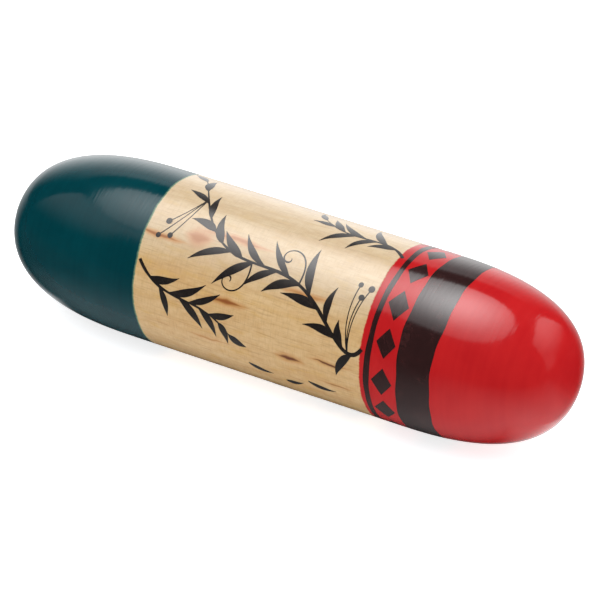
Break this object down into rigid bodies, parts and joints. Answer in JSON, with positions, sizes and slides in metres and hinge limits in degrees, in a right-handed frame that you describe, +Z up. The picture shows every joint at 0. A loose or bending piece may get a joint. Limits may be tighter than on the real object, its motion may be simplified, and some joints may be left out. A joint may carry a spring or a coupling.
{
  "type": "wooden shaker",
  "caption": "Long round-ended hollow wooden hand shaker, painted teal at one end and red at the other, filled with loose seeds that rattle when it is shaken.",
  "frame": {"origin": "centre of the shaker, on its own axis, midway between its tips", "axes": "+X along the axis towards the tip of the red end, +Z up as it lies on its side"},
  "size_m": [0.203, 0.057, 0.057],
  "materials": {
    "birch": "pale turned wood under clear gloss varnish",
    "teal_paint": "turned wood under glossy dark teal paint",
    "red_paint": "turned wood under glossy red paint",
    "seed": "hard dry seed coat, half matt"
  },
  "bodies": {
    "shell": {"barrel_tube": "birch", "teal_end_cap": "teal_paint", "red_end_cap": "red_paint"},
    "seed_01": {"seed_01": "seed"},
    "seed_02": {"seed_02": "seed"},
    "seed_03": {"seed_03": "seed"},
    "seed_04": {"seed_04": "seed"},
    "seed_05": {"seed_05": "seed"},
    "seed_06": {"seed_06": "seed"},
    "seed_07": {"seed_07": "seed"},
    "seed_08": {"seed_08": "seed"},
    "seed_09": {"seed_09": "seed"},
    "seed_10": {"seed_10": "seed"},
    "seed_11": {"seed_11": "seed"},
    "seed_12": {"seed_12": "seed"},
    "seed_13": {"seed_13": "seed"},
    "seed_14": {"seed_14": "seed"},
    "seed_15": {"seed_15": "seed"},
    "seed_16": {"seed_16": "seed"},
    "seed_17": {"seed_17": "seed"},
    "seed_18": {"seed_18": "seed"},
    "seed_19": {"seed_19": "seed"},
    "seed_20": {"seed_20": "seed"},
    "seed_21": {"seed_21": "seed"},
    "seed_22": {"seed_22": "seed"},
    "seed_23": {"seed_23": "seed"},
    "seed_24": {"seed_24": "seed"},
    "seed_25": {"seed_25": "seed"},
    "seed_26": {"seed_26": "seed"},
    "seed_27": {"seed_27": "seed"},
    "seed_28": {"seed_28": "seed"},
    "seed_29": {"seed_29": "seed"},
    "seed_30": {"seed_30": "seed"},
    "seed_31": {"seed_31": "seed"},
    "seed_32": {"seed_32": "seed"},
    "seed_33": {"seed_33": "seed"},
    "seed_34": {"seed_34": "seed"},
    "seed_35": {"seed_35": "seed"},
    "seed_36": {"seed_36": "seed"},
    "seed_37": {"seed_37": "seed"},
    "seed_38": {"seed_38": "seed"},
    "seed_39": {"seed_39": "seed"},
    "seed_40": {"seed_40": "seed"},
    "seed_41": {"seed_41": "seed"},
    "seed_42": {"seed_42": "seed"},
    "seed_43": {"seed_43": "seed"},
    "seed_44": {"seed_44": "seed"},
    "seed_45": {"seed_45": "seed"},
    "seed_46": {"seed_46": "seed"}
  },
  "joints": [
    {"name": "seed_01_toss", "type": "slide", "parent": "shell", "child": "seed_01", "axis": [0, 0, 1], "range_m": [0, 0.0384]},
    {"name": "seed_02_toss", "type": "slide", "parent": "shell", "child": "seed_02", "axis": [0, 0, 1], "range_m": [0, 0.0381]},
    {"name": "seed_03_toss", "type": "slide", "parent": "shell", "child": "seed_03", "axis": [0, 0, 1], "range_m": [0, 0.0381]},
    {"name": "seed_04_toss", "type": "slide", "parent": "shell", "child": "seed_04", "axis": [0, 0, 1], "range_m": [0, 0.0361]},
    {"name": "seed_05_toss", "type": "slide", "parent": "shell", "child": "seed_05", "axis": [0, 0, 1], "range_m": [0, 0.0373]},
    {"name": "seed_06_toss", "type": "slide", "parent": "shell", "child": "seed_06", "axis": [0, 0, 1], "range_m": [0, 0.0367]},
    {"name": "seed_07_toss", "type": "slide", "parent": "shell", "child": "seed_07", "axis": [0, 0, 1], "range_m": [0, 0.0378]},
    {"name": "seed_08_toss", "type": "slide", "parent": "shell", "child": "seed_08", "axis": [0, 0, 1], "range_m": [0, 0.0373]},
    {"name": "seed_09_toss", "type": "slide", "parent": "shell", "child": "seed_09", "axis": [0, 0, 1], "range_m": [0, 0.0364]},
    {"name": "seed_10_toss", "type": "slide", "parent": "shell", "child": "seed_10", "axis": [0, 0, 1], "range_m": [0, 0.0373]},
    {"name": "seed_11_toss", "type": "slide", "parent": "shell", "child": "seed_11", "axis": [0, 0, 1], "range_m": [0, 0.0352]},
    {"name": "seed_12_toss", "type": "slide", "parent": "shell", "child": "seed_12", "axis": [0, 0, 1], "range_m": [0, 0.0372]},
    {"name": "seed_13_toss", "type": "slide", "parent": "shell", "child": "seed_13", "axis": [0, 0, 1], "range_m": [0, 0.0382]},
    {"name": "seed_14_toss", "type": "slide", "parent": "shell", "child": "seed_14", "axis": [0, 0, 1], "range_m": [0, 0.0382]},
    {"name": "seed_15_toss", "type": "slide", "parent": "shell", "child": "seed_15", "axis": [0, 0, 1], "range_m": [0, 0.0359]},
    {"name": "seed_16_toss", "type": "slide", "parent": "shell", "child": "seed_16", "axis": [0, 0, 1], "range_m": [0, 0.0343]},
    {"name": "seed_17_toss", "type": "slide", "parent": "shell", "child": "seed_17", "axis": [0, 0, 1], "range_m": [0, 0.0375]},
    {"name": "seed_18_toss", "type": "slide", "parent": "shell", "child": "seed_18", "axis": [0, 0, 1], "range_m": [0, 0.0317]},
    {"name": "seed_19_toss", "type": "slide", "parent": "shell", "child": "seed_19", "axis": [0, 0, 1], "range_m": [0, 0.0325]},
    {"name": "seed_20_toss", "type": "slide", "parent": "shell", "child": "seed_20", "axis": [0, 0, 1], "range_m": [0, 0.0346]},
    {"name": "seed_21_toss", "type": "slide", "parent": "shell", "child": "seed_21", "axis": [0, 0, 1], "range_m": [0, 0.033]},
    {"name": "seed_22_toss", "type": "slide", "parent": "shell", "child": "seed_22", "axis": [0, 0, 1], "range_m": [0, 0.0349]},
    {"name": "seed_23_toss", "type": "slide", "parent": "shell", "child": "seed_23", "axis": [0, 0, 1], "range_m": [0, 0.0382]},
    {"name": "seed_24_toss", "type": "slide", "parent": "shell", "child": "seed_24", "axis": [0, 0, 1], "range_m": [0, 0.0365]},
    {"name": "seed_25_toss", "type": "slide", "parent": "shell", "child": "seed_25", "axis": [0, 0, 1], "range_m": [0, 0.0361]},
    {"name": "seed_26_toss", "type": "slide", "parent": "shell", "child": "seed_26", "axis": [0, 0, 1], "range_m": [0, 0.0357]},
    {"name": "seed_27_toss", "type": "slide", "parent": "shell", "child": "seed_27", "axis": [0, 0, 1], "range_m": [0, 0.0381]},
    {"name": "seed_28_toss", "type": "slide", "parent": "shell", "child": "seed_28", "axis": [0, 0, 1], "range_m": [0, 0.034]},
    {"name": "seed_29_toss", "type": "slide", "parent": "shell", "child": "seed_29", "axis": [0, 0, 1], "range_m": [0, 0.0288]},
    {"name": "seed_30_toss", "type": "slide", "parent": "shell", "child": "seed_30", "axis": [0, 0, 1], "range_m": [0, 0.0315]},
    {"name": "seed_31_toss", "type": "slide", "parent": "shell", "child": "seed_31", "axis": [0, 0, 1], "range_m": [0, 0.0335]},
    {"name": "seed_32_toss", "type": "slide", "parent": "shell", "child": "seed_32", "axis": [0, 0, 1], "range_m": [0, 0.0325]},
    {"name": "seed_33_toss", "type": "slide", "parent": "shell", "child": "seed_33", "axis": [0, 0, 1], "range_m": [0, 0.0316]},
    {"name": "seed_34_toss", "type": "slide", "parent": "shell", "child": "seed_34", "axis": [0, 0, 1], "range_m": [0, 0.038]},
    {"name": "seed_35_toss", "type": "slide", "parent": "shell", "child": "seed_35", "axis": [0, 0, 1], "range_m": [0, 0.0268]},
    {"name": "seed_36_toss", "type": "slide", "parent": "shell", "child": "seed_36", "axis": [0, 0, 1], "range_m": [0, 0.0378]},
    {"name": "seed_37_toss", "type": "slide", "parent": "shell", "child": "seed_37", "axis": [0, 0, 1], "range_m": [0, 0.0373]},
    {"name": "seed_38_toss", "type": "slide", "parent": "shell", "child": "seed_38", "axis": [0, 0, 1], "range_m": [0, 0.0374]},
    {"name": "seed_39_toss", "type": "slide", "parent": "shell", "child": "seed_39", "axis": [0, 0, 1], "range_m": [0, 0.0353]},
    {"name": "seed_40_toss", "type": "slide", "parent": "shell", "child": "seed_40", "axis": [0, 0, 1], "range_m": [0, 0.0375]},
    {"name": "seed_41_toss", "type": "slide", "parent": "shell", "child": "seed_41", "axis": [0, 0, 1], "range_m": [0, 0.0377]},
    {"name": "seed_42_toss", "type": "slide", "parent": "shell", "child": "seed_42", "axis": [0, 0, 1], "range_m": [0, 0.0377]},
    {"name": "seed_43_toss", "type": "slide", "parent": "shell", "child": "seed_43", "axis": [0, 0, 1], "range_m": [0, 0.0371]},
    {"name": "seed_44_toss", "type": "slide", "parent": "shell", "child": "seed_44", "axis": [0, 0, 1], "range_m": [0, 0.0319]},
    {"name": "seed_45_toss", "type": "slide", "parent": "shell", "child": "seed_45", "axis": [0, 0, 1], "range_m": [0, 0.0352]},
    {"name": "seed_46_toss", "type": "slide", "parent": "shell", "child": "seed_46", "axis": [0, 0, 1], "range_m": [0, 0.0291]}
  ]
}
